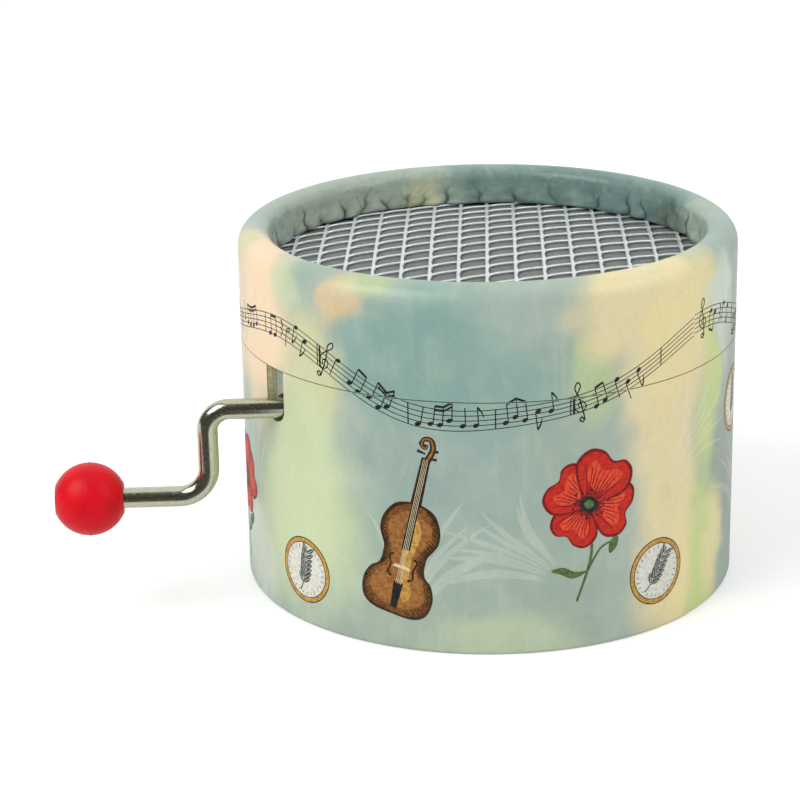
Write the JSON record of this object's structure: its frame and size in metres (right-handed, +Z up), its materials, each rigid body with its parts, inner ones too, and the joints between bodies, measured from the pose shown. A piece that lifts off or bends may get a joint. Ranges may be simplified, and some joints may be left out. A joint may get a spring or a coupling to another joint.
{
  "type": "hand crank music box",
  "caption": "Drum-shaped hand-crank music box: two paper-covered board halves, a metal mesh grille in the top, a bent wire crank with a ball knob and a pinned-cylinder movement inside.",
  "frame": {"origin": "centre of the drum's base, on the surface that it stands on", "axes": "+Z up along the drum's axis; the crank's shaft runs along X and leaves the drum towards -X, 17.7 mm off the axis towards -Y"},
  "size_m": [0.0954, 0.07, 0.0508],
  "materials": {
    "printed_paper": "satin coated printed paper",
    "board": "raw grey-brown board",
    "sleeve_board": "grey-blue faced board",
    "grey_board": "matt grey board",
    "expanded_mesh": "bright expanded sheet",
    "nickel_wire": "polished nickel plate",
    "red_plastic": "moulded, satin gloss",
    "block_wood": "plain sawn",
    "cast_zinc": "die-cast, tumbled",
    "comb_steel": "ground spring steel",
    "screw_steel": "zinc plated",
    "barrel_brass": "drawn brass",
    "pin_steel": "bright wire",
    "weight_lead": "dull lead",
    "wheel_plastic": "natural moulded plastic"
  },
  "bodies": {
    "root": {"lower_tube": "board", "lower_wrap": "printed_paper", "base_disc": "grey_board", "riser_block": "block_wood", "bedplate": "cast_zinc", "rear_bearing": "cast_zinc", "bearing_screw": "screw_steel", "mounting_washers": "screw_steel", "mounting_screws": "screw_steel", "comb": "comb_steel", "comb_weights": "weight_lead", "comb_screws": "screw_steel"},
    "upper_half": {"upper_tube": "board", "upper_wrap": "printed_paper", "rim_ring": "board", "neck_sleeve": "sleeve_board", "grille_backing": "grey_board", "mesh_grille": "expanded_mesh"},
    "cylinder": {"cylinder_barrel": "barrel_brass", "cylinder_pins": "pin_steel", "cylinder_caps": "barrel_brass", "cylinder_arbor": "screw_steel", "cylinder_gear": "wheel_plastic"},
    "crank": {"crank_wire": "nickel_wire", "crank_worm": "barrel_brass", "crank_collars": "screw_steel"},
    "knob": {"crank_knob": "red_plastic"}
  },
  "joints": [
    {"name": "upper_half_lift", "type": "slide", "parent": "root", "child": "upper_half", "axis": [0, 0, 1], "range_m": [0, 0.03]},
    {"name": "crank_turn", "type": "hinge", "parent": "root", "child": "crank", "pos_m": [-0.01, -0.0177, 0.0298], "axis": [1, 0, 0], "continuous": true},
    {"name": "cylinder_turn", "type": "hinge", "parent": "root", "child": "cylinder", "pos_m": [-0.01, -0.0177, 0.021], "axis": [0, 1, 0], "continuous": true},
    {"name": "knob_spin", "type": "hinge", "parent": "crank", "child": "knob", "pos_m": [-0.0558, -0.0177, 0.0174], "axis": [1, 0, 0], "continuous": true}
  ],
  "couplings": [
    {"joint": "cylinder_turn", "follows": "crank_turn", "ratio": -0.045455}
  ]
}
